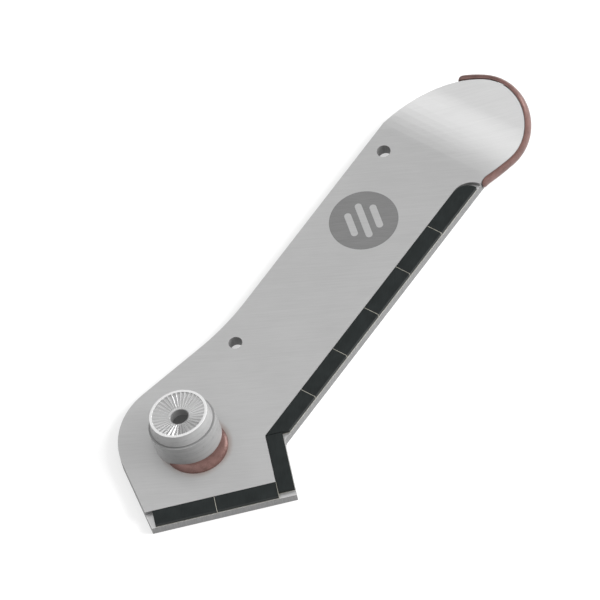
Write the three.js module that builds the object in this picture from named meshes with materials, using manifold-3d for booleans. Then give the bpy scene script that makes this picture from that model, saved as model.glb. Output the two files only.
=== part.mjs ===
// Swivel knife of an inter-row weeder: a bent steel blade with brazed carbide tiles along its three
// cutting edges, a leaning welded hub with a serrated seat, and a hard-faced, upturned tip.
// Millimetres. The plate lies flat with its underside at z = 0. +X runs along the blade to the tip,
// the long cutting edge faces -Y, and the origin is under the middle of the hub's foot.
import * as THREE from "three";
import { mergeGeometries, mergeVertices } from "three/addons/utils/BufferGeometryUtils.js";
import Module from "manifold-3d";

const wasm = await Module();
wasm.setup();

const { degToRad } = THREE.MathUtils;

// Gap between pieces that fit or seat on each other.
const FIT_GAP = 0.3;
// How far a cutting body reaches past what it cuts.
const OVERCUT = 2;

// Plate: offsets are from the hub to each straight edge.
const PLATE_THICKNESS = 10;
const HUB_END_RADIUS = 52;
const HUB_END_AHEAD = 2.2;
const BACK_OFFSET = 31.3;
const FRONT_OFFSET = 59.2;
const HEEL_OFFSET = 66;
const BASE_OFFSET = 66;
const HEEL_TURN = degToRad(45);
const END_SLANT = degToRad(10);
const SHOULDER_SLOPE = degToRad(14);
const SHOULDER_BLEND_RADIUS = 200;
const HEEL_FILLET_RADIUS = 6;

// Tip, on the flat plate before it is bent. The shoulder and the bend are measured back from its end.
const TIP_REACH = 357.4;
const NOSE_RADIUS = 35;
const TIP_SHOULDER_SETBACK = 65.2;
const TIP_SHOULDER_TURN = degToRad(12);
const FLARE_DEPTH = 9.8;
const FLARE_SLOPE = degToRad(20);
const FLARE_BLEND_RADIUS = 10;

// Upward bend of the tip, about a line across the blade.
const BEND_SETBACK = 70.2;
const BEND_RADIUS = 100;
const BEND_ANGLE = degToRad(28);
const BEND_FACETS = 10;

// Fixing holes near the back edge.
const HOLE_DIAMETER = 10;
const HOLE_BACK_DISTANCE = 14;
const FIRST_HOLE_REACH = 84;
const HOLE_SPACING = 188;

// Carbide tiles in a step cut along the cutting edges, each on a braze foil.
const TILE_WIDTH = 12;
const TILE_THICKNESS = 3;
const FOIL_THICKNESS = 0.4;
const TILE_SETBACK = 0.4;
const TILE_JOINT = 0.4;
const EDGE_TILE_PITCH = 40;
const FIRST_EDGE_JOINT = 73.7;
const BASE_TILE_LENGTH = 45;
const BASE_TILE_COUNT = 2;
const STEP_END_DROP = 1.6;
const STEP_END_CLEARANCE = 6.8;
const TILE_END_CLEARANCE = 1.4;
const HEEL_TILE_SETBACK = 4;

// Hub: heights are along its own axis, from the top of the plate.
const HUB_LEAN = degToRad(8);
const BOSS_DIAMETER = 49;
const BOSS_HEIGHT = 19.3;
const BOSS_CHAMFER = 0.4;
const BOLT_RECESS_DIAMETER = 26;
const RING_FOOT_DIAMETER = 46;
const RIM_DIAMETER = 42.4;
const RING_TOP = 29.4;
const RING_NECK_DEPTH = 0.6;
const RING_NECK_HEIGHT = 0.8;
const RIM_CHAMFER = 0.3;
const RIM_WIDTH = 2.1;
const SEAT_DEPTH = 3;
const MOUTH_DIAMETER = 16.5;
const LIP_DEPTH = 2;
const BOLT_BORE_DIAMETER = 12.5;
const TOOTH_COUNT = 36;
const TOOTH_DEPTH = 1.1;
const TOOTH_WALL = 0.25;

// Crescent weld at the hub's foot: the part of an off-centre round cushion that the boss leaves free.
const WELD_REACH = 7.5;
const WELD_SHIFT = 8.8;
const WELD_HEADING = degToRad(-109);
const WELD_FLANK = 7.8;
const WELD_HEIGHT = 5;

// Hard-facing bead round the tip.
const TIP_BEAD_LEAD = 5.3;
const TIP_BEAD_BACK_LENGTH = 20.3;
const TIP_BEAD_START_WIDTH = 2.2;
const TIP_BEAD_END_WIDTH = 4.8;
const TIP_BEAD_FOOT = 0.4;
const TIP_BEAD_CROWN = 0.6;
const TIP_BEAD_ROUNDING = 4;
const TIP_BEAD_STEPS = 60;

const STEP_DEPTH = TILE_THICKNESS + FOIL_THICKNESS;
const STEP_WIDTH = TILE_WIDTH + FIT_GAP + TILE_SETBACK;
const STEP_END_RADIUS = STEP_WIDTH + STEP_END_DROP;
const STEP_FLOOR = PLATE_THICKNESS - STEP_DEPTH;
const BEND_START = TIP_REACH - BEND_SETBACK;

// ---- Straight edges ---------------------------------------------------------------------------

// A straight edge is the line that lies `offset` from the origin along the unit vector at `angle`.
// Going round the plate anticlockwise, it is followed in the direction a quarter turn on.
function edge(angle, offset) {
  const normal = new THREE.Vector2(Math.cos(angle), Math.sin(angle));
  return { normal, offset, heading: new THREE.Vector2(-normal.y, normal.x) };
}

function inset(line, distance) {
  return { ...line, offset: line.offset - distance };
}

function corner(a, b) {
  const cross = a.normal.cross(b.normal);
  return new THREE.Vector2(
    (a.offset * b.normal.y - b.offset * a.normal.y) / cross,
    (b.offset * a.normal.x - a.offset * b.normal.x) / cross,
  );
}

// The edge at `angle` that touches a circle.
function tangent(angle, centre, radius) {
  return inset(edge(angle, radius), -centre.dot(edge(angle, 0).normal));
}

const HUB_END_CENTRE = new THREE.Vector2(HUB_END_AHEAD, 0);
const NOSE_CENTRE = new THREE.Vector2(TIP_REACH - NOSE_RADIUS, NOSE_RADIUS - FRONT_OFFSET - FLARE_DEPTH);
const FLARE_ANGLE = -Math.PI / 2 - FLARE_SLOPE;
const BASE = edge(-Math.PI / 2 - HEEL_TURN, BASE_OFFSET);
const HEEL = edge(-HEEL_TURN, HEEL_OFFSET);
const FRONT = edge(-Math.PI / 2, FRONT_OFFSET);
const FLARE = tangent(FLARE_ANGLE, NOSE_CENTRE, NOSE_RADIUS);
const BACK = edge(Math.PI / 2, BACK_OFFSET);
const SHOULDER = tangent(Math.PI / 2 - SHOULDER_SLOPE, HUB_END_CENTRE, HUB_END_RADIUS);
const END = tangent(Math.PI - HEEL_TURN + END_SLANT, HUB_END_CENTRE, HUB_END_RADIUS);

// Where the cutting edge turns out into the tip, and what is set out from there.
const FLARE_REACH = corner(FRONT, FLARE).x;
const STEP_END_REACH = FLARE_REACH - STEP_END_CLEARANCE - STEP_END_RADIUS;
const EDGE_TILE_COUNT = 1 + Math.max(Math.round((STEP_END_REACH - FIRST_EDGE_JOINT) / EDGE_TILE_PITCH), 1);

// Adds the arc of `radius` that blends edge a into edge b.
function blend(path, a, b, radius) {
  const turn = Math.atan2(a.heading.cross(b.heading), a.heading.dot(b.heading));
  const side = Math.sign(turn);
  const start = corner(a, b).addScaledVector(a.heading, -radius * Math.tan(Math.abs(turn) / 2));
  const centre = start.clone().addScaledVector(a.normal, -side * radius);
  const from = a.normal.clone().multiplyScalar(side).angle();
  path.lineTo(start.x, start.y);
  path.absarc(centre.x, centre.y, radius, from, from + turn, side < 0);
}

// The long back arc of the tip leaves the back edge at a slight corner and runs into the nose.
function backArc() {
  const start = new THREE.Vector2(TIP_REACH - TIP_SHOULDER_SETBACK, BACK_OFFSET);
  const normal = new THREE.Vector2(Math.sin(TIP_SHOULDER_TURN), Math.cos(TIP_SHOULDER_TURN));
  const toNose = start.clone().sub(NOSE_CENTRE);
  const radius = (toNose.lengthSq() - NOSE_RADIUS ** 2) / (2 * (toNose.dot(normal) - NOSE_RADIUS));
  const centre = start.clone().addScaledVector(normal, -radius);
  return { centre, radius, from: NOSE_CENTRE.clone().sub(centre).angle(), to: normal.angle() };
}

const BACK_ARC = backArc();

// Follows the tip anticlockwise, from the flare to `end` on the back arc.
function followTip(path, end) {
  blend(path, FRONT, FLARE, FLARE_BLEND_RADIUS);
  path.absarc(NOSE_CENTRE.x, NOSE_CENTRE.y, NOSE_RADIUS, FLARE_ANGLE, BACK_ARC.from, false);
  path.absarc(BACK_ARC.centre.x, BACK_ARC.centre.y, BACK_ARC.radius, BACK_ARC.from, end, false);
}

function plateOutline() {
  const outline = new THREE.Shape();
  outline.setFromPoints([corner(END, BASE), corner(BASE, HEEL)]);
  blend(outline, HEEL, FRONT, HEEL_FILLET_RADIUS);
  followTip(outline, BACK_ARC.to);
  blend(outline, BACK, SHOULDER, SHOULDER_BLEND_RADIUS);
  outline.absarc(HUB_END_AHEAD, 0, HUB_END_RADIUS, SHOULDER.normal.angle(), END.normal.angle(), false);
  outline.closePath();
  return outline;
}

// ---- Solids -----------------------------------------------------------------------------------

function solidOf(geometry) {
  const bare = new THREE.BufferGeometry();
  bare.setAttribute("position", geometry.getAttribute("position"));
  bare.setIndex(geometry.index);
  const merged = mergeVertices(bare, 1e-4);
  return new wasm.Manifold(
    new wasm.Mesh({
      numProp: 3,
      vertProperties: new Float32Array(merged.attributes.position.array),
      triVerts: new Uint32Array(merged.index.array),
    }),
  );
}

function geometryOf(solid) {
  const { vertProperties, triVerts } = solid.getMesh();
  const geometry = new THREE.BufferGeometry();
  geometry.setAttribute("position", new THREE.BufferAttribute(vertProperties, 3));
  geometry.setIndex(new THREE.BufferAttribute(triVerts, 1));
  return geometry;
}

function prism(shape, bottom, top) {
  const geometry = new THREE.ExtrudeGeometry(shape, { depth: top - bottom, bevelEnabled: false });
  return geometry.translate(0, 0, bottom);
}

// A solid of revolution about Z, from a closed profile of [radius, height] pairs.
function turned(profile, segments) {
  const points = [...profile, profile[0]].map(([radius, height]) => new THREE.Vector2(radius, height));
  return new THREE.LatheGeometry(points, segments).rotateX(Math.PI / 2);
}

// ---- Bent plate -------------------------------------------------------------------------------

// Moves a point of the flat plate to its place on the bent one. The mid plane keeps its length.
function bend(point) {
  const beyond = point.x - BEND_START;
  if (beyond <= 0) return point;
  const turn = Math.min(beyond / BEND_RADIUS, BEND_ANGLE);
  const straight = beyond - turn * BEND_RADIUS;
  const centre = PLATE_THICKNESS / 2 + BEND_RADIUS;
  const radius = centre - point.z;
  point.x = BEND_START + radius * Math.sin(turn) + straight * Math.cos(turn);
  point.z = centre - radius * Math.cos(turn) + straight * Math.sin(turn);
  return point;
}

function bendGeometry(geometry) {
  const position = geometry.getAttribute("position");
  const point = new THREE.Vector3();
  for (let i = 0; i < position.count; i++) {
    bend(point.fromBufferAttribute(position, i));
    position.setXYZ(i, point.x, point.y, point.z);
  }
  return geometry;
}

// The part of a closed outline on one side of the line x = limit.
function clip(points, limit, keepBelow) {
  const inside = (p) => (keepBelow ? p.x <= limit : p.x >= limit);
  return points.flatMap((p, i) => {
    const next = points[(i + 1) % points.length];
    const kept = inside(p) ? [p] : [];
    if (inside(p) === inside(next)) return kept;
    const crossing = p.clone().lerp(next, (limit - p.x) / (next.x - p.x)).setX(limit);
    return [...kept, crossing];
  });
}

// One strip of the flat plate between two stations, without the walls that it shares.
function strip(points, low, high) {
  const part = clip(clip(points, high, true), low, false);
  const whole = prism(new THREE.Shape(part), 0, PLATE_THICKNESS);
  const position = whole.getAttribute("position");
  const kept = [];
  for (let i = 0; i < position.count; i += 3) {
    const xs = [0, 1, 2].map((k) => position.getX(i + k));
    const shared = [low, high].some((limit) => xs.every((x) => Math.abs(x - limit) < 1e-3));
    if (!shared) for (let k = 0; k < 3; k++) kept.push(xs[k], position.getY(i + k), position.getZ(i + k));
  }
  return new THREE.BufferGeometry().setAttribute("position", new THREE.Float32BufferAttribute(kept, 3));
}

function bentPlate() {
  const points = plateOutline()
    .getPoints(8)
    .filter((p, i, all) => i === 0 || p.distanceTo(all[i - 1]) > 1e-3);
  if (points[0].distanceTo(points.at(-1)) < 1e-3) points.pop();
  const stations = [-TIP_REACH];
  for (let i = 0; i <= BEND_FACETS; i++) {
    stations.push(BEND_START + (BEND_RADIUS * BEND_ANGLE * i) / BEND_FACETS);
  }
  stations.push(2 * TIP_REACH);
  const strips = stations.slice(1).map((high, i) => strip(points, stations[i], high));
  return bendGeometry(mergeVertices(mergeGeometries(strips), 1e-4));
}

// The step's outline, running past the cutting edges on the outside.
function stepOutline() {
  const baseWall = inset(BASE, STEP_WIDTH);
  const heelWall = inset(HEEL, STEP_WIDTH);
  const frontWall = inset(FRONT, STEP_WIDTH);
  const outside = [FRONT, HEEL, BASE].map((line) => inset(line, -OVERCUT));
  const endOutside = inset(END, -OVERCUT);
  const arcCentre = frontWall.offset + STEP_END_RADIUS;
  const outline = new THREE.Shape();
  outline.setFromPoints([
    corner(endOutside, baseWall),
    corner(endOutside, outside[2]),
    corner(outside[2], outside[1]),
    corner(outside[1], outside[0]),
    new THREE.Vector2(STEP_END_REACH + STEP_END_RADIUS, -FRONT_OFFSET - OVERCUT),
    new THREE.Vector2(STEP_END_REACH + STEP_END_RADIUS, -arcCentre),
  ]);
  outline.absarc(STEP_END_REACH, -arcCentre, STEP_END_RADIUS, 0, Math.PI / 2, false);
  outline.lineTo(...corner(heelWall, frontWall).toArray());
  outline.lineTo(...corner(baseWall, heelWall).toArray());
  outline.closePath();
  return outline;
}

function holeCutters() {
  const height = PLATE_THICKNESS + 2 * OVERCUT;
  return [0, HOLE_SPACING].map((along) =>
    new THREE.CylinderGeometry(HOLE_DIAMETER / 2, HOLE_DIAMETER / 2, height, 40)
      .rotateX(Math.PI / 2)
      .translate(FIRST_HOLE_REACH + along, BACK_OFFSET - HOLE_BACK_DISTANCE, PLATE_THICKNESS / 2),
  );
}

// ---- Hub --------------------------------------------------------------------------------------

// Stands a hub piece on the plate: its own Z is the hub's axis, which leans toward the back edge.
function stand(geometry) {
  return geometry.rotateX(-HUB_LEAN).translate(0, 0, PLATE_THICKNESS);
}

function hubCylinder(radius, bottom, top) {
  const turnedUp = new THREE.CylinderGeometry(radius, radius, top - bottom, 72).rotateX(Math.PI / 2);
  return stand(turnedUp.translate(0, 0, (top + bottom) / 2));
}

// Everything below the top of the plate, grown by `gap`.
function belowPlateTop(gap) {
  const depth = BOSS_DIAMETER;
  return new THREE.BoxGeometry(4 * BOSS_DIAMETER, 4 * BOSS_DIAMETER, depth)
    .translate(0, 0, PLATE_THICKNESS + gap - depth / 2);
}

function boss() {
  const outer = BOSS_DIAMETER / 2;
  const inner = BOLT_RECESS_DIAMETER / 2;
  const tube = turned(
    [
      [inner, -PLATE_THICKNESS],
      [outer, -PLATE_THICKNESS],
      [outer, BOSS_HEIGHT - BOSS_CHAMFER],
      [outer - BOSS_CHAMFER, BOSS_HEIGHT],
      [inner, BOSS_HEIGHT],
    ],
    72,
  );
  return geometryOf(solidOf(stand(tube)).subtract(solidOf(belowPlateTop(FIT_GAP))));
}

// The tapered ring that seats the swivel head: a shallow cone with radial teeth, whose mouth leads
// into a bolt bore.
function serratedRing() {
  const foot = RING_FOOT_DIAMETER / 2;
  const rim = RIM_DIAMETER / 2;
  const seat = rim - RIM_WIDTH;
  const mouth = MOUTH_DIAMETER / 2;
  const bore = BOLT_BORE_DIAMETER / 2;
  const bottom = BOSS_HEIGHT + FIT_GAP;
  const crest = RING_TOP - TOOTH_WALL;
  const profile = [
    [bore, bottom],
    [foot - RING_NECK_DEPTH, bottom],
    [foot - RING_NECK_DEPTH, bottom + RING_NECK_HEIGHT],
    [foot, bottom + RING_NECK_HEIGHT],
    [rim, RING_TOP - RIM_CHAMFER],
    [rim - RIM_CHAMFER, RING_TOP],
    [seat + TOOTH_WALL, RING_TOP],
    [seat, crest],
    [mouth, RING_TOP - SEAT_DEPTH],
    [bore, RING_TOP - SEAT_DEPTH - LIP_DEPTH],
  ];
  const ring = turned(profile, 2 * TOOTH_COUNT);
  const position = ring.getAttribute("position");
  const perSegment = profile.length + 1;
  for (let i = 0; i < position.count; i++) {
    const [radius] = profile[(i % perSegment) % profile.length];
    const onSeat = [7, 8].includes(i % perSegment);
    const valley = Math.floor(i / perSegment) % 2 === 1;
    if (onSeat && valley) position.setZ(i, position.getZ(i) - (TOOTH_DEPTH * radius) / seat);
  }
  return stand(ring);
}

function hubWeld() {
  const radius = BOSS_DIAMETER / 2 + WELD_REACH - WELD_SHIFT;
  const flank = new THREE.Path().absellipse(
    radius - WELD_FLANK, 0, WELD_FLANK, WELD_HEIGHT, 0, Math.PI / 2, false,
  );
  const profile = [[0, 0], ...flank.getPoints(5).map((p) => p.toArray()), [0, WELD_HEIGHT]];
  const cushion = turned(profile, 96).translate(
    WELD_SHIFT * Math.cos(WELD_HEADING),
    WELD_SHIFT * Math.sin(WELD_HEADING),
    PLATE_THICKNESS,
  );
  const boss = hubCylinder(BOSS_DIAMETER / 2 + FIT_GAP, -BOSS_DIAMETER, BOSS_DIAMETER);
  return geometryOf(solidOf(cushion).subtract(solidOf(boss)));
}

// ---- Tip bead ---------------------------------------------------------------------------------

// A straight bar whose section is a half ellipse, wrapped round the tip and then bent with it. In
// the bar, -x points away from the plate, y is the height and z the distance along the route.
function tipBead() {
  const route = new THREE.Path();
  route.moveTo(FLARE_REACH - TIP_BEAD_LEAD, -FRONT_OFFSET);
  followTip(route, BACK_ARC.from + TIP_BEAD_BACK_LENGTH / BACK_ARC.radius);
  const length = route.getLength();
  const halfHeight = (PLATE_THICKNESS + TIP_BEAD_CROWN - TIP_BEAD_FOOT) / 2;
  const middle = TIP_BEAD_FOOT + halfHeight;
  const section = new THREE.Shape().absellipse(0, 0, 1, halfHeight, Math.PI / 2, 1.5 * Math.PI, false);
  const bar = new THREE.ExtrudeGeometry(section, {
    curveSegments: 6,
    steps: TIP_BEAD_STEPS,
    depth: length,
    bevelEnabled: false,
  });
  const position = bar.getAttribute("position");
  for (let i = 0; i < position.count; i++) {
    const along = Math.min(position.getZ(i) / length, 1);
    const fromEnd = Math.min(along, 1 - along) * length + TIP_BEAD_ROUNDING / 8;
    const rounding = Math.sqrt(1 - Math.max(1 - fromEnd / TIP_BEAD_ROUNDING, 0) ** 2);
    const width = THREE.MathUtils.lerp(TIP_BEAD_START_WIDTH, TIP_BEAD_END_WIDTH, along ** 3);
    const outward = FIT_GAP - position.getX(i) * width * rounding;
    const point = route.getPointAt(along);
    const heading = route.getTangentAt(along);
    position.setXYZ(
      i,
      point.x + heading.y * outward,
      point.y - heading.x * outward,
      middle + position.getY(i) * rounding,
    );
  }
  return bendGeometry(bar);
}

// ---- Tiles ------------------------------------------------------------------------------------

// Each tile's outline, with the gaps to its neighbours and to the step's walls taken off.
function tileOutlines() {
  const wall = (line) => inset(line, STEP_WIDTH - FIT_GAP);
  const face = (line) => inset(line, TILE_SETBACK);
  const quad = (...corners) => new THREE.Shape(corners);
  const outlines = {};

  const heelWall = inset(HEEL, STEP_WIDTH);
  const innerCorner = corner(heelWall, inset(FRONT, STEP_WIDTH));
  const mitre = { ...BASE, offset: innerCorner.dot(BASE.normal) };
  const heelTop = inset(mitre, -TILE_JOINT);
  const heelBottom = inset(BASE, HEEL_TILE_SETBACK);
  outlines.heel_tile = quad(
    corner(wall(HEEL), heelBottom),
    corner(face(HEEL), heelBottom),
    corner(face(HEEL), heelTop),
    corner(wall(HEEL), heelTop),
  );

  for (let i = 0; i < BASE_TILE_COUNT; i++) {
    const right = inset(heelWall, i * BASE_TILE_LENGTH);
    const left = inset(right, BASE_TILE_LENGTH - TILE_JOINT);
    outlines[`base_tile_${i + 1}`] = quad(
      corner(face(BASE), left),
      corner(face(BASE), right),
      corner(wall(BASE), right),
      corner(wall(BASE), left),
    );
  }

  const inner = -wall(FRONT).offset;
  const outer = -face(FRONT).offset;
  for (let i = 0; i < EDGE_TILE_COUNT; i++) {
    const right = FIRST_EDGE_JOINT + i * EDGE_TILE_PITCH;
    const left = right - EDGE_TILE_PITCH + TILE_JOINT;
    const outline = new THREE.Shape();
    if (i === 0) outline.setFromPoints([corner(wall(FRONT), mitre), corner(face(FRONT), mitre)]);
    else outline.setFromPoints([new THREE.Vector2(left, inner), new THREE.Vector2(left, outer)]);
    if (i === EDGE_TILE_COUNT - 1) {
      outline.absarc(STEP_END_REACH - TILE_END_CLEARANCE, outer, TILE_WIDTH, 0, Math.PI / 2, false);
    } else {
      outline.lineTo(right, outer);
      outline.lineTo(right, inner);
    }
    outline.closePath();
    outlines[`edge_tile_${i + 1}`] = outline;
  }
  return outlines;
}

// ---- Assembly ---------------------------------------------------------------------------------

const STEEL = { color: 0xb9bbbd, roughness: 0.38, metalness: 1.0 };
const TURNED_STEEL = { color: 0xc9cacb, roughness: 0.3, metalness: 1.0 };
const CARBIDE = { color: 0x272b2b, roughness: 0.5, metalness: 0.3 };
const BRAZE = { color: 0xc6b68c, roughness: 0.45, metalness: 1.0 };
const WELD = { color: 0x8a5a50, roughness: 0.42, metalness: 0.8 };

const group = new THREE.Group();

function place(name, geometry, finish) {
  const plain = geometry.index ? geometry.toNonIndexed() : geometry;
  plain.computeVertexNormals();
  const mesh = new THREE.Mesh(plain, new THREE.MeshStandardMaterial(finish));
  mesh.name = name;
  group.add(mesh);
}

let plate = solidOf(bentPlate());
const boltRecess = hubCylinder(BOLT_RECESS_DIAMETER / 2, -2 * PLATE_THICKNESS, PLATE_THICKNESS);
const step = prism(stepOutline(), STEP_FLOOR, PLATE_THICKNESS + OVERCUT);
for (const cutter of [...holeCutters(), boltRecess, step]) plate = plate.subtract(solidOf(cutter));

place("blade_plate", geometryOf(plate), STEEL);
place("hub_boss", boss(), TURNED_STEEL);
place("serrated_ring", serratedRing(), TURNED_STEEL);
place("hub_weld", hubWeld(), WELD);
place("tip_bead", tipBead(), WELD);
for (const [name, outline] of Object.entries(tileOutlines())) {
  const foilTop = STEP_FLOOR + FOIL_THICKNESS;
  place(name, prism(outline, foilTop, foilTop + TILE_THICKNESS), CARBIDE);
  place(name.replace("tile", "foil"), prism(outline, STEP_FLOOR, foilTop), BRAZE);
}

export default group;
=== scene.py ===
"""Looks of an inter-row weeder's swivel knife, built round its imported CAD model.

The knife is a 10 mm steel blade with carbide tiles brazed into a step along its cutting edges, a
leaning hub that ends in a serrated ring, a crescent weld at the hub's foot and a hard-faced bead
round its upturned tip. Everything is in metres in the CAD model's own frame: the blade's underside
is the plane z = 0, +X runs to the tip and the long cutting edge faces -Y.
"""

import logging
import math
from collections.abc import Callable, Iterator, Sequence
from contextlib import contextmanager
from dataclasses import dataclass, field
from enum import Enum
from typing import Union

import bmesh
import bpy
from mathutils import Euler, Matrix, Vector


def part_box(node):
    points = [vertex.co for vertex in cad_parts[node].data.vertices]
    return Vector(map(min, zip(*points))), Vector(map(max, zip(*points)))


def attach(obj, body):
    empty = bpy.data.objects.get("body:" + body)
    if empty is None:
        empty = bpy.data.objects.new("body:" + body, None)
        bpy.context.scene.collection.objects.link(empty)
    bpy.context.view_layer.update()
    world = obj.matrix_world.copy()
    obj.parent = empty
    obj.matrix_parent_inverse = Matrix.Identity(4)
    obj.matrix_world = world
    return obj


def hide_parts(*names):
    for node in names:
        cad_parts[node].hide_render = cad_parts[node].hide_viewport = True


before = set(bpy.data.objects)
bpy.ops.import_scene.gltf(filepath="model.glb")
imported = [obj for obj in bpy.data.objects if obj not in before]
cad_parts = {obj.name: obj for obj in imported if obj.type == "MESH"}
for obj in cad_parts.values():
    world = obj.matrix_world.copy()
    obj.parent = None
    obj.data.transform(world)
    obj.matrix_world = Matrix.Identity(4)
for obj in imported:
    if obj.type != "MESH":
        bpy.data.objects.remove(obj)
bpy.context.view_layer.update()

log = logging.getLogger("swivel_knife")

MM = 0.001
PLATE_TOP = 10 * MM
STEP_FLOOR = 6.6 * MM
TILE_THICKNESS = 3 * MM
WELD_RADIUS = 23.2 * MM
WELD_SHIFT = 8.8 * MM
WELD_HEADING = math.radians(-109)
WELD_CENTRE = (WELD_SHIFT * math.cos(WELD_HEADING), WELD_SHIFT * math.sin(WELD_HEADING))
GRAIN_TURN = math.radians(-55.5)
BODY = "root"

Colour = tuple[float, float, float, float]
Triple = tuple[float, float, float]
Feed = Union["Term", float, Sequence[float]]


# ---- Shader maths -------------------------------------------------------------------------------


class Term:
    """One socket of a shader's node tree. Arithmetic on it adds the Math nodes."""

    def __init__(self, recipe: "Recipe", socket: bpy.types.NodeSocket | None) -> None:
        """Wraps an output socket of the recipe's tree."""
        self.recipe = recipe
        self.socket = socket

    def _math(self, operation: str, *feeds: Feed) -> "Term":
        """Adds a Math node that works on the feeds in their order."""
        return self.recipe.node("ShaderNodeMath", {"operation": operation}, dict(enumerate(feeds)))

    def __add__(self, other: Feed) -> "Term":
        """Sum."""
        return self._math("ADD", self, other)

    __radd__ = __add__

    def __sub__(self, other: Feed) -> "Term":
        """Difference."""
        return self._math("SUBTRACT", self, other)

    def __rsub__(self, other: Feed) -> "Term":
        """Difference from a number."""
        return self._math("SUBTRACT", other, self)

    def __mul__(self, other: Feed) -> "Term":
        """Product."""
        return self._math("MULTIPLY", self, other)

    __rmul__ = __mul__

    def __abs__(self) -> "Term":
        """Size without its sign."""
        return self._math("ABSOLUTE", self)

    def at_least(self, floor: Feed) -> "Term":
        """The larger of this and the floor."""
        return self._math("MAXIMUM", self, floor)

    def at_most(self, ceiling: Feed) -> "Term":
        """The smaller of this and the ceiling."""
        return self._math("MINIMUM", self, ceiling)

    def length_with(self, other: "Term") -> "Term":
        """Length of the vector whose two parts are this and the other."""
        return self._math("SQRT", self * self + other * other)

    def rising(self, low: float, high: float) -> "Term":
        """Smooth step from 0 at low to 1 at high."""
        ends = {"Value": self, "From Min": low, "From Max": high}
        return self.recipe.node("ShaderNodeMapRange", {"interpolation_type": "SMOOTHSTEP"}, ends)

    def falling(self, low: float, high: float) -> "Term":
        """Smooth step from 1 at low to 0 at high."""
        return 1 - self.rising(low, high)

    def parts(self) -> tuple["Term", "Term", "Term"]:
        """The three parts of a vector."""
        split = self.recipe.node("ShaderNodeSeparateXYZ", inputs={0: self}).socket.node
        return tuple(Term(self.recipe, socket) for socket in split.outputs)


class Recipe:
    """The node tree of one finish, or of the world's glow."""

    def __init__(self, owner: bpy.types.Material | bpy.types.World) -> None:
        """Starts an empty tree.

        Args:
            owner: The material or world that the tree belongs to.
        """
        owner.use_nodes = True
        self.owner = owner
        self.tree = owner.node_tree
        self.tree.nodes.clear()

    @classmethod
    def of_finish(cls, name: str) -> "Recipe":
        """Starts a new material's tree."""
        return cls(bpy.data.materials.new(name))

    def node(
        self,
        kind: str,
        settings: dict[str, object] | None = None,
        inputs: dict[str | int, Feed] | None = None,
        output: str | int = 0,
    ) -> Term:
        """Adds one node.

        Args:
            kind: The node's type.
            settings: Its settings, which are made before its sockets are fed.
            inputs: A value or a term for each socket that is fed, by name or number.
            output: The output to hand back, by name or number.

        Returns:
            The output as a term.
        """
        node = self.tree.nodes.new(kind)
        for key, value in (settings or {}).items():
            setattr(node, key, value)
        for key, value in (inputs or {}).items():
            if isinstance(value, Term):
                self.tree.links.new(value.socket, node.inputs[key])
            else:
                node.inputs[key].default_value = value
        return Term(self, node.outputs[output] if node.outputs else None)

    def place(self) -> Term:
        """The piece's own coordinates."""
        return self.node("ShaderNodeTexCoord", output="Object")

    def facing(self) -> Term:
        """The surface normal in the piece's own coordinates."""
        return self.node("ShaderNodeTexCoord", output="Normal")

    def mapped(
        self,
        vector: Term,
        move: Sequence[float] = (0, 0, 0),
        turn: Sequence[float] = (0, 0, 0),
        stretch: Sequence[float] = (1, 1, 1),
    ) -> Term:
        """Moves, then turns, then stretches a pattern's coordinates.

        Args:
            vector: The coordinates.
            move: The point that becomes the pattern's origin.
            turn: Euler angles of the pattern's own axes.
            stretch: Repeats per metre along each of those axes.

        Returns:
            The pattern's coordinates.
        """
        centred = self.node(
            "ShaderNodeMapping",
            {"vector_type": "POINT"},
            {"Vector": vector, "Location": [-part for part in move]},
        )
        turned = self.node(
            "ShaderNodeMapping",
            {"vector_type": "POINT"},
            {"Vector": centred, "Rotation": [-angle for angle in turn]},
        )
        return self.node("ShaderNodeMapping", inputs={"Vector": turned, "Scale": stretch})

    def noise(self, vector: Term, scale: float = 1, detail: float = 2, rough: float = 0.5) -> Term:
        """Noise from 0 to 1 round a half."""
        feeds = {"Vector": vector, "Scale": scale, "Detail": detail, "Roughness": rough}
        return self.node("ShaderNodeTexNoise", inputs=feeds)

    def blend(self, share: Feed, low: Feed, high: Feed) -> Term:
        """Mixes two colours, from low at 0 to high at 1."""
        feeds = {0: share, 6: low, 7: high}
        return self.node("ShaderNodeMix", {"data_type": "RGBA"}, feeds, output=2)

    def bump(self, height: Term, distance: float, strength: float = 1.0) -> Term:
        """Turns a height from 0 to 1 into a normal, with its full depth in metres."""
        feeds = {"Height": height, "Distance": distance, "Strength": strength}
        return self.node("ShaderNodeBump", inputs=feeds)

    def surface(self, **feeds: Feed) -> bpy.types.Material:
        """Closes the tree with a Principled shader.

        Args:
            **feeds: Its sockets, by name with _ for each space.

        Returns:
            The finished material.
        """
        named = {name.replace("_", " "): value for name, value in feeds.items()}
        shader = self.node("ShaderNodeBsdfPrincipled", inputs=named)
        self.node("ShaderNodeOutputMaterial", inputs={"Surface": shader})
        return self.owner


def grey(level: float) -> Colour:
    """A linear grey."""
    return (level, level, level, 1.0)


def linear(red: int, green: int, blue: int) -> Colour:
    """A linear colour from display values of 0 to 255."""
    parts = [(value / 255 + 0.055) / 1.055 for value in (red, green, blue)]
    return (*(part**2.4 for part in parts), 1.0)


# ---- Finishes -----------------------------------------------------------------------------------


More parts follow.
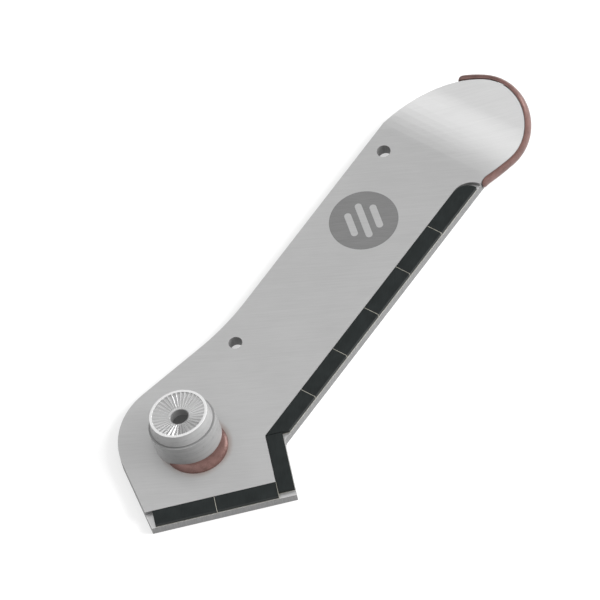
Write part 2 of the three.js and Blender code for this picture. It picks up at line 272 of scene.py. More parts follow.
@dataclass(frozen=True)
class BrushedPlate:
    """Ground sheet steel: a fine slanting grain, laser-cut sides and a scratched underside."""

    grain_width: float = 0.45 * MM
    grain_length: float = 14 * MM
    streak_size: float = 3
    cloud_scale: float = 28
    cut_lines: Triple = (1500, 1500, 60)
    scratch_turn: float = 1.1
    scratch_lines: Triple = (20, 900, 20)
    dark: float = 0.52
    light: float = 0.585
    side: float = 0.2
    step: float = 0.7
    tint: Colour = linear(150, 112, 88)
    tint_reach: float = 4.5 * MM
    tint_strength: float = 0.4

    def material(self) -> bpy.types.Material:
        """Builds the finish.

        Returns:
            The finished material.
        """
        recipe = Recipe.of_finish("brushed_plate")
        place = recipe.place()
        x, y, z = place.parts()
        tilt = recipe.facing().parts()[2]
        level = abs(tilt).rising(0.45, 0.75)
        upright = abs(tilt).falling(0.05, 0.3)
        fine = (1 / self.grain_length, 1 / self.grain_width, 1 / self.grain_length)
        coarse = [part / self.streak_size for part in fine]
        grain = recipe.noise(recipe.mapped(place, turn=(0, 0, GRAIN_TURN), stretch=fine))
        streak = recipe.noise(recipe.mapped(place, turn=(0, 0, GRAIN_TURN), stretch=coarse))
        cloud = recipe.noise(place, scale=self.cloud_scale, detail=3)
        cut = recipe.noise(recipe.mapped(place, stretch=self.cut_lines), detail=3)
        across = recipe.mapped(place, turn=(0, 0, self.scratch_turn), stretch=self.scratch_lines)
        scratch = recipe.noise(across, detail=4)

        shade = (grain * 0.45 + streak * 0.3 + cloud * 0.25).rising(0.25, 0.75)
        face = recipe.blend(shade, grey(self.dark), grey(self.light))
        below = tilt.falling(-0.7, -0.3)
        worn = recipe.blend(scratch.rising(0.4, 0.7), grey(self.dark * 0.72), grey(self.dark * 1.05))
        face = recipe.blend(below, face, worn)
        floor = z.falling(STEP_FLOOR + 0.3 * MM, STEP_FLOOR + 1 * MM) * tilt.rising(0.4, 0.7)
        face = recipe.blend(floor, face, grey(self.step))
        side = recipe.blend(cut.rising(0.3, 0.7), grey(self.side * 0.86), grey(self.side * 1.06))
        colour = recipe.blend(level, grey(self.light * 1.35), face)
        colour = recipe.blend(upright, colour, side)
        beyond = (x - WELD_CENTRE[0]).length_with(y - WELD_CENTRE[1]) - WELD_RADIUS
        heat = beyond.falling(0, self.tint_reach) * tilt.rising(0.6, 0.9)
        heat = heat * cloud.rising(0.2, 0.6) * self.tint_strength
        colour = recipe.blend(heat, colour, self.tint)

        relief = grain * level + cut * upright
        return recipe.surface(
            Base_Color=colour,
            Metallic=0.35 + level * 0.5,
            Roughness=0.42 + (grain - 0.5) * 0.16 + upright * 0.08,
            Normal=recipe.bump(relief, 0.03 * MM, 0.5),
        )


@dataclass(frozen=True)
class TurnedSteel:
    """Steel turned on a lathe, with fine grooves round the hub's axis.

    Attributes:
        name: The material's name.
        lean: The angle between the hub's axis and the plate's normal.
        dark: The darker grey between the grooves.
        light: The lighter grey between them.
        metallic: How metallic the turned outside is.
        roughness: The mean roughness.
        groove: The grooves' pitch.
        land: The inner radius, outer radius and height above the plate of a land whose top carries a
            painted highlight, if any.
        seat: The grey inside the land, lighter than the outside's greys, which carry painted shade
            on the ring's side.
        land_highlight_grey: The land's lighter grey, a painted highlight on the rim.
        land_blur: The width over which the land's painted highlight begins.
    """

    name: str
    lean: float
    dark: float = 0.22
    light: float = 0.28
    metallic: float = 0.1
    roughness: float = 0.3
    groove: float = 0.28 * MM
    land: Triple | None = None
    seat: float = 0.56
    land_highlight_grey: float = 0.62
    land_blur: float = 0.2 * MM

    def material(self) -> bpy.types.Material:
        """Builds the finish.

        Returns:
            The finished material.
        """
        recipe = Recipe.of_finish(self.name)
        upright = recipe.mapped(recipe.place(), move=(0, 0, PLATE_TOP), turn=(-self.lean, 0, 0))
        x, y, height = upright.parts()
        radius = x.length_with(y)
        repeat = 1 / self.groove
        rings = recipe.node("ShaderNodeCombineXYZ", inputs={0: radius * repeat, 1: height * repeat})
        grooves = recipe.noise(rings, detail=3, rough=0.6)
        broad = recipe.noise(rings, scale=0.12)
        handling = recipe.noise(recipe.place(), scale=160, detail=3)
        shade = (grooves * 0.5 + broad * 0.3 + handling * 0.2).rising(0.28, 0.72)
        colour = recipe.blend(shade, grey(self.dark), grey(self.light))
        metallic: Feed = self.metallic
        if self.land:
            inner, outer, top = self.land
            below = top - 0.15 * MM
            raised = height.rising(below - self.land_blur, below)
            land_highlight = raised * radius.rising(inner, inner + self.land_blur)
            inside = radius.falling(outer - self.land_blur, outer)
            # Painted shade: the ring's outside keeps the darker greys, while the seat inside the
            # land gets a lighter one.
            colour = recipe.blend(inside, colour, grey(self.seat))
            # Painted highlight: the land on the ring's top is painted a lighter grey than the seat.
            colour = recipe.blend(land_highlight, colour, grey(self.land_highlight_grey))
            metallic = self.metallic + inside * (1 - land_highlight) * 0.65
        return recipe.surface(
            Base_Color=colour,
            Metallic=metallic,
            Roughness=self.roughness + (grooves - 0.5) * 0.14 + (handling - 0.5) * 0.1,
            Normal=recipe.bump(grooves, 0.015 * MM, 0.5),
        )


@dataclass(frozen=True)
class WeldMetal:
    """Copper-brown oxide on a smooth weld, darker in patches, with fine paler specks."""

    name: str
    body: Colour = linear(118, 89, 84)
    deep: Colour = linear(90, 66, 61)
    bloom: Colour = linear(150, 119, 112)
    metallic: float = 0.45
    roughness: float = 0.34
    patch_scale: float = 170
    speck_scale: float = 1400

    def material(self) -> bpy.types.Material:
        """Builds the finish.

        Returns:
            The finished material.
        """
        recipe = Recipe.of_finish(self.name)
        place = recipe.place()
        patch = recipe.noise(place, scale=self.patch_scale, detail=4, rough=0.6)
        speck = recipe.noise(place, scale=self.speck_scale, detail=3, rough=0.6)
        colour = recipe.blend(patch.rising(0.15, 0.75), self.deep, self.body)
        colour = recipe.blend(speck.rising(0.5, 0.8) * 0.5, colour, self.bloom)
        relief = patch * 0.6 + speck * 0.4
        return recipe.surface(
            Base_Color=colour,
            Metallic=self.metallic,
            Roughness=self.roughness + (patch - 0.5) * 0.2 + (speck - 0.5) * 0.15,
            Normal=recipe.bump(relief, 0.12 * MM, 0.5),
        )


@dataclass(frozen=True)
class SinteredCarbide:
    """Near-black sintered carbide with fine grinding lines."""

    dark: Colour = linear(22, 25, 25)
    light: Colour = linear(38, 42, 42)
    shine: float = 0.14
    speck_scale: float = 2600
    patch_scale: float = 110
    grinding_turn: float = 0.5
    grinding_lines: Triple = (90, 2600, 90)

    def material(self) -> bpy.types.Material:
        """Builds the finish.

        Returns:
            The finished material.
        """
        recipe = Recipe.of_finish("sintered_carbide")
        place = recipe.place()
        speck = recipe.noise(place, scale=self.speck_scale, detail=3, rough=0.7)
        patch = recipe.noise(place, scale=self.patch_scale)
        along = recipe.mapped(place, turn=(0, 0, self.grinding_turn), stretch=self.grinding_lines)
        ground = recipe.noise(along, detail=3)
        shade = (speck * 0.45 + ground * 0.3 + patch * 0.25).rising(0.3, 0.72)
        return recipe.surface(
            Base_Color=recipe.blend(shade, self.dark, self.light),
            Metallic=0.0,
            Specular_IOR_Level=self.shine,
            Roughness=0.5 + (patch - 0.5) * 0.14 + (ground - 0.5) * 0.1,
            Normal=recipe.bump(speck * 0.5 + ground * 0.5, 0.02 * MM, 0.5),
        )


@dataclass(frozen=True)
class SilverBraze:
    """Pale silver braze, a little yellow, with a dull flux bloom."""

    dark: Colour = linear(150, 147, 137)
    light: Colour = linear(184, 182, 172)
    flow_scale: float = 420
    bloom_scale: float = 1500

    def material(self) -> bpy.types.Material:
        """Builds the finish.

        Returns:
            The finished material.
        """
        recipe = Recipe.of_finish("silver_braze")
        place = recipe.place()
        flow = recipe.noise(place, scale=self.flow_scale, detail=3)
        bloom = recipe.noise(place, scale=self.bloom_scale, detail=3, rough=0.6)
        return recipe.surface(
            Base_Color=recipe.blend(flow.rising(0.3, 0.7), self.dark, self.light),
            Metallic=0.5,
            Roughness=0.4 + (bloom - 0.5) * 0.3,
            Normal=recipe.bump(bloom, 0.03 * MM, 0.5),
        )


@dataclass(frozen=True)
class EtchedMark:
    """A dark etched disc with three light furrow bars, and the plate's grain showing through."""

    centre: tuple[float, float]
    grain_lines: Triple = (70, 2200, 70)
    pit_scale: float = 2200
    bar_turn: float = math.radians(52)
    bar_width: float = 5 * MM
    bar_pitch: float = 9.5 * MM
    bar_reaches: Triple = (8 * MM, 13 * MM, 8 * MM)
    bar_blur: float = 0.2 * MM

    def _bars(self, recipe: Recipe, place: Term) -> Term:
        """Draws the round-ended bars.

        Args:
            recipe: The finish's node tree.
            place: The disc's own coordinates.

        Returns:
            A mask, 1 inside the bars.
        """
        across = recipe.mapped(place, move=(*self.centre, 0), turn=(0, 0, self.bar_turn))
        x, y, _ = across.parts()
        middle = (len(self.bar_reaches) - 1) / 2
        nearest: Term | None = None
        for i, reach in enumerate(self.bar_reaches):
            aside = y - (i - middle) * self.bar_pitch
            distance = (abs(x) - reach).at_least(0).length_with(aside)
            nearest = nearest.at_most(distance) if nearest else distance
        edge = self.bar_width / 2
        return nearest.falling(edge - self.bar_blur / 2, edge + self.bar_blur / 2)

    def material(self) -> bpy.types.Material:
        """Builds the finish.

        Returns:
            The finished material.
        """
        recipe = Recipe.of_finish("etched_mark")
        place = recipe.place()
        along = recipe.mapped(place, turn=(0, 0, GRAIN_TURN), stretch=self.grain_lines)
        grain = recipe.noise(along, detail=3)
        pit = recipe.noise(place, scale=self.pit_scale)
        shade = (grain * 0.6 + pit * 0.4).rising(0.3, 0.7)
        dark = recipe.blend(shade, grey(0.17), grey(0.22))
        bright = recipe.blend(shade, grey(0.48), grey(0.56))
        bars = self._bars(recipe, place)
        return recipe.surface(
            Base_Color=recipe.blend(bars, dark, bright),
            Metallic=0.5 + bars * 0.3,
            Roughness=0.5 + (grain - 0.5) * 0.14,
            Normal=recipe.bump(grain * 0.5 + pit * 0.2 + bars * 0.3, 0.03 * MM, 0.5),
        )


# ---- Modelling ----------------------------------------------------------------------------------


class Element(Enum):
    """What a selection picks."""

    VERTEX = "verts"
    EDGE = "edges"
    FACE = "faces"


def deselect_all() -> None:
    """Leaves nothing selected."""
    for obj in bpy.context.selected_objects:
        obj.select_set(False)


class Piece:
    """One visible piece of the knife, shaped with Blender's own operators."""

    def __init__(self, name: str) -> None:
        """Takes on the object that is active.

        Args:
            name: The piece's name.
        """
        self.obj = bpy.context.object
        self.obj.name = self.obj.data.name = name

    @classmethod
    def disc(cls, name: str, radius: float, height: float, sides: int) -> "Piece":
        """Starts from a bare circle round the Z axis.

        Args:
            name: The piece's name.
            radius: The circle's radius.
            height: Its height.
            sides: How many edges it has.

        Returns:
            The new piece.
        """
        deselect_all()
        bpy.ops.mesh.primitive_circle_add(vertices=sides, radius=radius, location=(0, 0, height))
        return cls(name)

    @classmethod
    def copy_of(cls, node: str, name: str) -> "Piece":
        """Starts from a CAD solid's mesh, merged and with its flat faces joined up.

        Args:
            node: The CAD solid.
            name: The piece's name.

        Returns:
            The new piece.
        """
        deselect_all()
        obj = bpy.data.objects.new(name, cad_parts[node].data.copy())
        obj.data.materials.clear()
        bpy.context.scene.collection.objects.link(obj)
        bpy.context.view_layer.objects.active = obj
        obj.select_set(True)
        bpy.ops.mesh.customdata_custom_splitnormals_clear()
        piece = cls(name)
        with piece.editing():
            bpy.ops.mesh.select_all(action="SELECT")
            bpy.ops.mesh.remove_doubles(threshold=0.004 * MM)
            bpy.ops.mesh.dissolve_limited(angle_limit=math.radians(0.4))
        return piece

    @contextmanager
    def editing(self) -> Iterator[None]:
        """Edit mode, for as long as the block runs."""
        bpy.ops.object.mode_set(mode="EDIT")
        yield
        bpy.ops.object.mode_set(mode="OBJECT")

    def pick(self, kind: Element, wanted: Callable[[object], bool]) -> None:
        """Selects the elements that pass a test, and nothing else. Edit mode only.

        Args:
            kind: What is picked.
            wanted: The test, on a bmesh element.
        """
        mesh = bmesh.from_edit_mesh(self.obj.data)
        for chosen in (*mesh.faces, *mesh.edges, *mesh.verts):
            chosen.select_set(False)
        for element in getattr(mesh, kind.value):
            if wanted(element):
                element.select_set(True)
        bmesh.update_edit_mesh(self.obj.data)

    def turn(self, profile: Sequence[tuple[float, float]]) -> None:
        """Draws the circle along a closed profile into a solid of revolution.

        Args:
            profile: Pairs of radius and height. The piece starts as a circle at the first one.
        """
        with self.editing():
            bpy.ops.mesh.select_all(action="SELECT")
            onward = [*profile[1:], profile[0]]
            for (radius, height), (next_radius, next_height) in zip(profile, onward):
                rise = {"value": (0, 0, next_height - height)}
                bpy.ops.mesh.extrude_region_move(TRANSFORM_OT_translate=rise)
                ratio = next_radius / radius
                bpy.ops.transform.resize(value=(ratio, ratio, 1))
            self.weld_and_turn_out()

    def fill_and_lift(self, thickness: float) -> None:
        """Fills the circle and draws it up into a plain disc.

        Args:
            thickness: How far it rises.
        """
        with self.editing():
            bpy.ops.mesh.select_all(action="SELECT")
            bpy.ops.mesh.edge_face_add()
            rise = {"value": (0, 0, thickness)}
            bpy.ops.mesh.extrude_region_move(TRANSFORM_OT_translate=rise)
            self.weld_and_turn_out()

    def weld_and_turn_out(self) -> None:
        """Merges doubled vertices and points every face outwards. Edit mode only."""
        bpy.ops.mesh.select_all(action="SELECT")
        bpy.ops.mesh.remove_doubles(threshold=0.001 * MM)
        bpy.ops.mesh.normals_make_consistent(inside=False)

    def stand(self, lean: float) -> None:
        """Stands the piece on the plate, with its axis leaning toward the back edge.

        Args:
            lean: The angle between its axis and the plate's normal.
        """
        self.settle()
        self.obj.rotation_euler = (-lean, 0, 0)
        self.obj.location = (0, 0, PLATE_TOP)
        self.settle()

    def _select(self) -> None:
        """Selects the piece alone and makes it active."""
        deselect_all()
        self.obj.select_set(True)
        bpy.context.view_layer.objects.active = self.obj

    def settle(self) -> None:
        """Moves the object's place and turn into its mesh."""
        self._select()
        bpy.ops.object.transform_apply(location=True, rotation=True, scale=True)

    def apply(self, kind: str, **settings: object) -> None:
        """Adds a modifier and applies it.

        Args:
            kind: The modifier's type.
            **settings: The modifier's own settings.
        """
        self._select()
        modifier = self.obj.modifiers.new(kind.title(), kind)
        for key, value in settings.items():
            setattr(modifier, key, value)
        bpy.ops.object.modifier_apply(modifier=modifier.name)

    def soften_edges(self, width: float, segments: int = 2, sharper_than: float = 30) -> None:
        """Rounds every edge that is sharper than an angle.

        Args:
            width: The rounding's width.
            segments: How many faces it has across.
            sharper_than: The angle in degrees.
        """
        self.apply(
            "BEVEL",
            width=width,
            segments=segments,
            limit_method="ANGLE",
            angle_limit=math.radians(sharper_than),
        )

    def shade(self, angle: float = 35, weighted: bool = True) -> None:
        """Shades the piece smooth, with its sharp edges kept.

        Args:
            angle: Edges sharper than this stay sharp, in degrees.
            weighted: Whether large flat faces set the normals next to them.
        """
        self._select()
        bpy.ops.object.shade_smooth_by_angle(angle=math.radians(angle))
        if weighted:
            self.apply("WEIGHTED_NORMAL", keep_sharp=True, weight=50)

    def finish(self, material: bpy.types.Material, slot: str, *stands_for: str) -> None:
        """Dresses the piece and fixes it to the frame.

        Args:
            material: Its finish.
            slot: The record's material slot that the finish belongs to; not used.
            *stands_for: The CAD solids that it replaces.
        """
        self.obj.data.materials.clear()
        self.obj.data.materials.append(material)
        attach(self.obj, BODY)
        if stands_for:
            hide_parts(*stands_for)
        log.info("%s: %d faces", self.obj.name, len(self.obj.data.polygons))


# ---- Sub-assemblies -----------------------------------------------------------------------------


def nodes_named(start: str) -> list[str]:
    """The CAD nodes whose names start in one way, in order."""
    return sorted(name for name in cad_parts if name.startswith(start))


@dataclass
class Blade:
    """The bent plate and the mark on it."""

    edge_rounding: float = 0.3 * MM
    mark_centre: tuple[float, float] = (215.6 * MM, -4.0 * MM)
    mark_radius: float = 25 * MM
    mark_thickness: float = 0.03 * MM
    mark_sides: int = 128

    def build(self) -> None:
        """Builds the plate, then the mark."""
        self._plate()
        self._mark()

    def _plate(self) -> None:
        """Rounds the plate's edges and dresses it."""
        plate = Piece.copy_of("blade_plate", "plate")
        plate.soften_edges(self.edge_rounding)
        plate.shade()
        plate.finish(BrushedPlate().material(), "plate", "blade_plate")

    def _mark(self) -> None:
        """Lays a thin etched disc on the top face."""
        mark = Piece.disc("maker_roundel", self.mark_radius, PLATE_TOP, self.mark_sides)
        mark.fill_and_lift(self.mark_thickness)
        mark.obj.location.x, mark.obj.location.y = self.mark_centre
        mark.settle()
        mark.soften_edges(self.mark_thickness / 2, segments=1)
        mark.shade()
        mark.finish(EtchedMark(self.mark_centre).material(), "plate")


@dataclass
class Hub:
    """The leaning boss, the serrated ring on it and the crescent weld at its foot.

    Heights of the boss and the ring are along the hub's axis, above the plate's top face. A seam
    is how far a welded piece reaches into its neighbour, so that no slit shows between them.
    """

    lean: float = math.radians(8)
    sides: int = 288
    boss_radius: float = 24.5 * MM
    boss_height: float = 19.3 * MM
    recess_radius: float = 13 * MM
    seam: float = 0.05 * MM
    ring_gap: float = 0.3 * MM
    ring_foot_radius: float = 23 * MM
    ring_top: float = 29.4 * MM
    neck_depth: float = 0.5 * MM
    neck_height: float = 0.45 * MM
    rim_radius: float = 21.2 * MM
    rim_width: float = 2.1 * MM
    mouth_radius: float = 8.25 * MM
    bore_radius: float = 6.4 * MM
    seat_depth: float = 2.7 * MM
    lip_depth: float = 1.5 * MM
    lip_steps: int = 6
    tooth_wall: float = 0.25 * MM
    tooth_depth: float = 1.1 * MM
    teeth: int = 36
    boss_rounding: float = 0.35 * MM
    ring_rounding: float = 0.18 * MM
    weld_flank: float = 7.8 * MM
    weld_height: float = 4.2 * MM
    weld_core: float = 14.4 * MM
    ripple: float = 0.05 * MM
    ripple_count: int = 60

    def build(self) -> None:
        """Builds the boss, the ring and the weld."""
        self._boss()
        self._ring()
        self._weld()

    def _boss(self) -> None:
        """Turns the boss and trims its foot level with the plate."""
        sunk = -self.boss_radius
        profile = [
            (self.recess_radius, sunk),
            (self.boss_radius, sunk),
            (self.boss_radius, self.boss_height),
            (self.recess_radius, self.boss_height),
        ]
        boss = Piece.disc("boss", *profile[0], self.sides // 2)
        boss.turn(profile)
        boss.stand(self.lean)
        with boss.editing():
            bpy.ops.mesh.select_all(action="SELECT")
            level = (0, 0, PLATE_TOP - self.seam)
            bpy.ops.mesh.bisect(plane_co=level, plane_no=(0, 0, 1), clear_inner=True)
            boss.pick(Element.EDGE, lambda edge: edge.is_boundary)
            bpy.ops.mesh.bridge_edge_loops()
            boss.weld_and_turn_out()
        boss.soften_edges(self.boss_rounding, segments=3, sharper_than=50)
        boss.shade()
        finish = TurnedSteel("turned_boss", self.lean)
        boss.finish(finish.material(), "boss", "hub_boss")

    def _ring_profile(self) -> list[tuple[float, float]]:
        """Section of the ring: its foot, neck, outside, rim, seat and mouth.

        Returns:
            Pairs of radius and height, from the bore's foot round to the lip in the bore.
        """
        foot = self.boss_height + self.ring_gap
        neck = self.ring_foot_radius - self.neck_depth
        seat = self.rim_radius - self.rim_width
        crest = self.ring_top - self.tooth_wall
        mouth = self.ring_top - self.seat_depth
        return [
            (self.bore_radius, foot),
            (neck, foot),
            (neck, foot + self.neck_height),
            (self.ring_foot_radius, foot + self.neck_height),
            (self.rim_radius, self.ring_top),
            (seat + self.tooth_wall, self.ring_top),
            (seat, crest),
            (self.mouth_radius, mouth),
            *((radius, mouth - drop) for radius, drop in self._lip()),
        ]

    def _lip(self) -> list[tuple[float, float]]:
        """Rounding from the mouth into the bore.

        Returns:
            Pairs of radius and drop below the mouth.
        """
        width = self.mouth_radius - self.bore_radius
        turns = [math.pi / 2 * i / self.lip_steps for i in range(1, self.lip_steps + 1)]
        return [
            (
                self.bore_radius + width * (1 - math.sin(turn)),
                self.lip_depth * (1 - math.cos(turn)),
            )
            for turn in turns
        ]

    def _ring(self) -> None:
        """Turns the ring and cuts its teeth."""
        profile = self._ring_profile()
        ring = Piece.disc("toothed_ring", *profile[0], self.sides)
        ring.turn(profile)
        ring.settle()
        with ring.editing():
            self._cut_teeth(ring)
            outside = self.rim_radius - self.rim_width / 2
            ring.pick(Element.EDGE, lambda edge: self._is_corner(edge, outside))
            bpy.ops.mesh.bevel(offset=self.ring_rounding, segments=3)
            ring.weld_and_turn_out()
        ring.stand(self.lean)
        ring.shade(angle=22)
        land = (self.rim_radius - self.rim_width, self.rim_radius, self.ring_top)
        # The outside greys 0.25 and 0.31 are painted darker than the seat, as painted shade on the
        # ring's side.
        finish = TurnedSteel("turned_ring", self.lean, 0.25, 0.31, land=land)
        ring.finish(finish.material(), "ring", "serrated_ring")

    @staticmethod
    def _is_corner(edge: bmesh.types.BMEdge, outside: float) -> bool:
        """Finds the ring's outer corners.

        Args:
            edge: An edge of the ring.
            outside: The radius that they lie beyond.

        Returns:
            Whether the edge is out there, with its two faces meeting sharply.
        """
        if not edge.is_manifold or any(v.co.xy.length < outside for v in edge.verts):
            return False
        return edge.calc_face_angle() > math.radians(40)

    def _cut_teeth(self, ring: Piece) -> None:
        """Sinks the seat between the teeth, whose crests and roots are narrow flats.

        Args:
            ring: The turned ring, in edit mode, with its seat still a plain cone.
        """
        per_tooth = self.sides // self.teeth
        seat = self.rim_radius - self.rim_width
        flank = per_tooth // 2 - 1
        end = self.mouth_radius / seat
        fade = [(radius, end * (1 - drop / self.lip_depth) / 2) for radius, drop in self._lip()[:3]]
        for radius, share in ((seat, 1.0), (self.mouth_radius, end), *fade):
            for step in range(2, per_tooth):
                depth = min(step - 1, per_tooth - step, flank) / flank
                ring.pick(Element.VERTEX, lambda v: self._on_step(v, radius, step, per_tooth))
                bpy.ops.transform.translate(value=(0, 0, -depth * share * self.tooth_depth))

    def _on_step(self, vertex: bmesh.types.BMVert, radius: float, step: int, per_tooth: int) -> bool:
        """Finds one step of every tooth on one of the seat's circles.

        Args:
            vertex: A vertex of the ring.
            radius: The circle's radius.
            step: The step, counted round from the tooth's start.
            per_tooth: How many steps a tooth has.

        Returns:
            Whether the vertex is there.
        """
        at = vertex.co
        if abs(at.xy.length - radius) > 0.02 * MM or at.z < self.ring_top - 2 * self.seat_depth:
            return False
        turn = math.atan2(at.y, at.x) / math.tau * self.sides
        return round(turn) % per_tooth == step

    def _weld(self) -> None:
        """Turns a low cushion off the hub's centre, cuts the boss out of it and ripples it."""
        rounds = 12
        turns = [math.pi / 2 * i / rounds for i in range(rounds + 1)]
        flank = [
            (
                WELD_RADIUS - self.weld_flank * (1 - math.cos(turn)),
                self.weld_height * math.sin(turn),
            )
            for turn in turns
        ]
        profile = [(self.weld_core, 0), *flank, (self.weld_core, self.weld_height)]
        weld = Piece.disc("hub_bead", *profile[0], self.sides)
        weld.turn(profile)
        weld.settle()
        weld.obj.location = (*WELD_CENTRE, PLATE_TOP - self.seam)
        weld.settle()
        cutter_radius = self.boss_radius - 2 * self.seam
        cutter = Piece.disc("weld_cutter", cutter_radius, -self.boss_radius, self.sides // 2)
        cutter.fill_and_lift(2 * self.boss_radius)
        cutter.stand(self.lean)
        weld.apply("BOOLEAN", operation="DIFFERENCE", solver="EXACT", object=cutter.obj)
        bpy.data.objects.remove(cutter.obj)
        self._ripple(weld)
        weld.shade(angle=40, weighted=False)
        weld.finish(WeldMetal("hub_weld").material(), "hub_weld", "hub_weld")

    def _ripple(self, weld: Piece) -> None:
        """Draws the weld's surface in a little at every pass of the torch.

        Args:
            weld: The weld's piece.
        """
        centre = Vector(WELD_CENTRE)
        for vertex in weld.obj.data.vertices:
            outward = vertex.co.xy - centre
            around = math.atan2(outward.y, outward.x)
            wave = (math.cos(around * self.ripple_count) - 1) / 2
            pull = self.ripple * wave / outward.length
            vertex.co.x += outward.x * pull
            vertex.co.y += outward.y * pull


@dataclass
class TipBead:
    """The hard-faced bead round the tip.

    Attributes:
        sunk: How far the bead's inner wall is pressed into the plate.
        wall_height: A face taller than this belongs to the inner wall.
    """

    sunk: float = 0.35 * MM
    wall_height: float = 6 * MM

    def build(self) -> None:
        """Rounds the bead, with its inner wall pressed against the plate."""
        bead = Piece.copy_of("tip_bead", "tip_hardfacing")
        with bead.editing():
            bead.pick(Element.FACE, self._is_inner)
            bpy.ops.transform.shrink_fatten(value=self.sunk)
            bead.weld_and_turn_out()
        bead.apply("SUBSURF", levels=2, render_levels=2)
        bead.shade(angle=70, weighted=False)
        bead.finish(WeldMetal("tip_weld").material(), "tip_bead", "tip_bead")

    def _is_inner(self, face: bmesh.types.BMFace) -> bool:
        """Whether a face is one of the tall faces against the plate."""
        heights = [vertex.co.z for vertex in face.verts]
        return max(heights) - min(heights) > self.wall_height


@dataclass
class CuttingEdge:
    """The carbide tiles with their braze foils and the braze that fills their joints.

    Attributes:
        tile_rounding: The rounding of a tile's edges.
        joint_width: The width of the joint between two tiles of a row.
        corner_joint_width: The width of the joint at the heel, where two rows meet.
        joint_sink: How far the braze stays below the tiles' top.
        joint_rounding: The rounding of the braze's edges.
        slack: How exactly a face must point toward the next tile.
        edge_tiles: The long edge's tiles, in order.
        base_tiles: The base edge's tiles, in order.
        heel_tile: The heel's tile.
    """

    tile_rounding: float = 0.18 * MM
    joint_width: float = 0.4 * MM
    corner_joint_width: float = 0.3 * MM
    joint_sink: float = 0.12 * MM
    joint_rounding: float = 0.05 * MM
    slack: float = 1e-9
    edge_tiles: list[str] = field(default_factory=lambda: nodes_named("edge_tile"))
    base_tiles: list[str] = field(default_factory=lambda: nodes_named("base_tile"))
    heel_tile: str = "heel_tile"

    def build(self) -> None:
        """Builds every tile, foil and joint."""
        carbide = SinteredCarbide().material()
        braze = SilverBraze().material()
        for tile in (self.heel_tile, *self.base_tiles, *self.edge_tiles):
            self._tile(tile, carbide)
            self._foil(tile.replace("tile", "foil"), braze)
        for row in (self.edge_tiles, self.base_tiles):
            for tile, neighbour in zip(row, row[1:]):
                self._joint(tile, neighbour, self.joint_width, braze)
        self._joint(self.base_tiles[0], self.heel_tile, self.corner_joint_width, braze)

    def _tile(self, node: str, carbide: bpy.types.Material) -> None:
        """Rounds one tile's edges and dresses it.

        Args:
            node: The tile's CAD solid.
            carbide: The finish.
        """
        tile = Piece.copy_of(node, f"carbide_{node}")
        tile.soften_edges(self.tile_rounding)
        tile.shade()
        tile.finish(carbide, "carbide", node)

    def _foil(self, node: str, braze: bpy.types.Material) -> None:
        """Dresses one braze foil, whose CAD shape is right.

        Args:
            node: The foil's CAD solid.
            braze: The finish.
        """
        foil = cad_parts[node]
        foil.data.materials.clear()
        foil.data.materials.append(braze)
        log.info("%s: dressed", node)

    def _joint(self, node: str, toward: str, width: float, braze: bpy.types.Material) -> None:
        """Fills the joint between two tiles.

        Args:
            node: The tile whose end face the braze starts from.
            toward: The tile that it reaches.
            width: The joint's width.
            braze: The finish.
        """
        joint = Piece.copy_of(node, f"braze_joint_{node}_{toward}")
        low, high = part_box(toward)
        corners = [vertex.co for vertex in joint.obj.data.vertices]
        heading = (Vector(low) + Vector(high)) / 2 - sum(corners, Vector()) / len(corners)
        heading.z = 0
        with joint.editing():
            mesh = bmesh.from_edit_mesh(joint.obj.data)
            end = max(face.normal.dot(heading) for face in mesh.faces)
            joint.pick(Element.FACE, lambda face: face.normal.dot(heading) < end - self.slack)
            bpy.ops.mesh.delete(type="FACE")
            bpy.ops.mesh.select_all(action="SELECT")
            bpy.ops.mesh.extrude_region_shrink_fatten(TRANSFORM_OT_shrink_fatten={"value": width})
            top = max(vertex.co.z for vertex in bmesh.from_edit_mesh(joint.obj.data).verts)
            joint.pick(Element.VERTEX, lambda vertex: vertex.co.z > top - self.joint_sink)
            bpy.ops.transform.translate(value=(0, 0, -self.joint_sink))
            joint.pick(Element.VERTEX, lambda vertex: vertex.co.z < top - TILE_THICKNESS / 2)
            bpy.ops.transform.translate(value=(0, 0, STEP_FLOOR - (top - TILE_THICKNESS)))
            joint.weld_and_turn_out()
        joint.soften_edges(self.joint_rounding)
        joint.shade()
        joint.finish(braze, "braze")


# ---- Studio -------------------------------------------------------------------------------------


@dataclass(frozen=True)
class Softbox:
    """A square area light that faces the knife.

    Attributes:
        name: The light's name.
        direction: Where it hangs, seen from the knife.
        size: Its side in metres.
        power: Its power in watts.
        distance: How far away it hangs.
        mirrored: Whether the knife's metal mirrors it.
    """

    name: str
    direction: Triple
    size: float
    power: float
    distance: float = 6
    mirrored: bool = True

    def build(self, target: Vector) -> None:
        """Hangs the light and aims it.

        Args:
            target: The point that it faces.
        """
        light = bpy.data.lights.new(self.name, "AREA")
        light.size, light.energy = self.size, self.power
        obj = bpy.data.objects.new(self.name, light)
        away = Vector(self.direction).normalized()
        obj.location = target + away * self.distance
        obj.rotation_euler = away.to_track_quat("Z", "Y").to_euler()
        obj.visible_glossy = self.mirrored
        bpy.context.scene.collection.objects.link(obj)


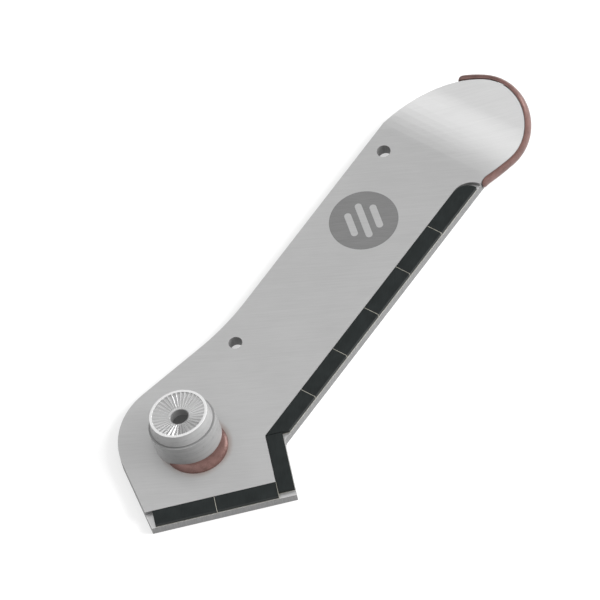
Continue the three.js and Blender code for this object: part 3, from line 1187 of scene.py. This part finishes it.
@dataclass
class Studio:
    """The floor, the lights and the camera.

    Attributes:
        azimuth: Heading of the line of sight, turned about Z.
        elevation: Its angle above the floor.
        roll: The camera's turn about it.
        target: The point in the middle of the picture.
        frame_width: The picture's width at the target's distance.
        lens: Focal length in mm, so long that the view is almost parallel.
        sensor: The sensor's width in mm.
        far: How far the camera sees.
        floor_size: The floor's side.
        floor_gap: How far the floor lies under the blade.
        lit_point: The point that every softbox faces.
        glow_from: Where the world's glow is brightest.
        glow_span: Cosines of the angle from there at which it is faintest and brightest.
        glow_strength: The faintest and the brightest glow.
        softboxes: The lights.
    """

    azimuth: float = math.radians(-43.85)
    elevation: float = math.radians(54.8)
    roll: float = math.radians(-14.17)
    target: Triple = (115.4 * MM, -24.9 * MM, 53.8 * MM)
    frame_width: float = 0.4248
    lens: float = 1600
    sensor: float = 36
    far: float = 50
    floor_size: float = 12
    floor_gap: float = 0.2 * MM
    lit_point: Triple = (200 * MM, 0, 0)
    glow_from: Triple = (-0.3, -0.25, 0.92)
    glow_span: tuple[float, float] = (-0.3, 0.9)
    glow_strength: tuple[float, float] = (0.15, 0.78)
    softboxes: tuple[Softbox, ...] = (
        Softbox("key_softbox", (0.6, -0.85, 0.6), size=4, power=560, mirrored=False),
        Softbox("band_softbox", (-0.2, 0.38, 0.9), size=3.4, power=50),
        Softbox("side_softbox", (0.92, -0.33, 0.2), size=2.6, power=130),
        Softbox("back_softbox", (0.2, 0.87, 0.5), size=2.4, power=26),
    )

    def build(self) -> None:
        """Sets up everything round the knife."""
        self._camera()
        self._floor()
        self._world()
        for softbox in self.softboxes:
            softbox.build(Vector(self.lit_point))
        bpy.context.scene.view_settings.view_transform = "Standard"

    def _camera(self) -> None:
        """Puts a long lens on the line of sight, rolled a little."""
        camera = bpy.data.cameras.new("camera")
        camera.lens, camera.sensor_width = self.lens, self.sensor
        camera.clip_end = self.far
        obj = bpy.data.objects.new("camera", camera)
        turn = Euler((math.pi / 2 - self.elevation, 0, self.azimuth), "XYZ").to_matrix()
        turn = turn @ Matrix.Rotation(self.roll, 3, "Z")
        distance = self.frame_width * self.lens / self.sensor
        obj.matrix_world = turn.to_4x4()
        obj.location = Vector(self.target) + turn.col[2] * distance
        bpy.context.scene.collection.objects.link(obj)
        bpy.context.scene.camera = obj

    def _floor(self) -> None:
        """Lays a pale floor that can be seen through from below."""
        deselect_all()
        bpy.ops.mesh.primitive_plane_add(size=self.floor_size, location=(0, 0, -self.floor_gap))
        floor = bpy.context.object
        floor.name = "floor"
        recipe = Recipe.of_finish("pale_floor")
        paint = recipe.node(
            "ShaderNodeBsdfPrincipled",
            inputs={
                "Base Color": grey(0.5),
                "Roughness": 0.75,
                "Emission Color": grey(1.0),
                "Emission Strength": 0.5,
            },
        )
        clear = recipe.node("ShaderNodeBsdfTransparent")
        behind = recipe.node("ShaderNodeNewGeometry", output="Backfacing")
        both = recipe.node("ShaderNodeMixShader", inputs={0: behind, 1: paint, 2: clear})
        recipe.node("ShaderNodeOutputMaterial", inputs={"Surface": both})
        floor.data.materials.append(recipe.owner)

    def _world(self) -> None:
        """Surrounds the knife with a soft glow, brightest overhead, before a white backdrop."""
        recipe = Recipe(bpy.data.worlds.new("studio_glow"))
        sky = recipe.node("ShaderNodeTexCoord", output="Generated")
        brightest = Vector(self.glow_from).normalized()
        nearness = recipe.node(
            "ShaderNodeVectorMath",
            {"operation": "DOT_PRODUCT"},
            {0: sky, 1: brightest},
            output="Value",
        )
        ends = {
            "From Min": self.glow_span[0],
            "From Max": self.glow_span[1],
            "To Min": self.glow_strength[0],
            "To Max": self.glow_strength[1],
        }
        strength = recipe.node(
            "ShaderNodeMapRange",
            {"interpolation_type": "SMOOTHSTEP"},
            {"Value": nearness, **ends},
        )
        glow = recipe.node("ShaderNodeBackground", inputs={"Color": grey(1.0), "Strength": strength})
        backdrop = recipe.node("ShaderNodeBackground", inputs={"Color": grey(1.0)})
        seen = recipe.node("ShaderNodeLightPath", output="Is Camera Ray")
        both = recipe.node("ShaderNodeMixShader", inputs={0: seen, 1: glow, 2: backdrop})
        recipe.node("ShaderNodeOutputWorld", inputs={"Surface": both})
        bpy.context.scene.world = recipe.owner


def main() -> None:
    """Builds the studio and every sub-assembly."""
    logging.basicConfig(level=logging.INFO, format="%(name)s: %(message)s")
    Studio().build()
    for assembly in (Blade(), Hub(), TipBead(), CuttingEdge()):
        log.info("building %s", type(assembly).__name__)
        assembly.build()


if __name__ == "__main__":
    main()
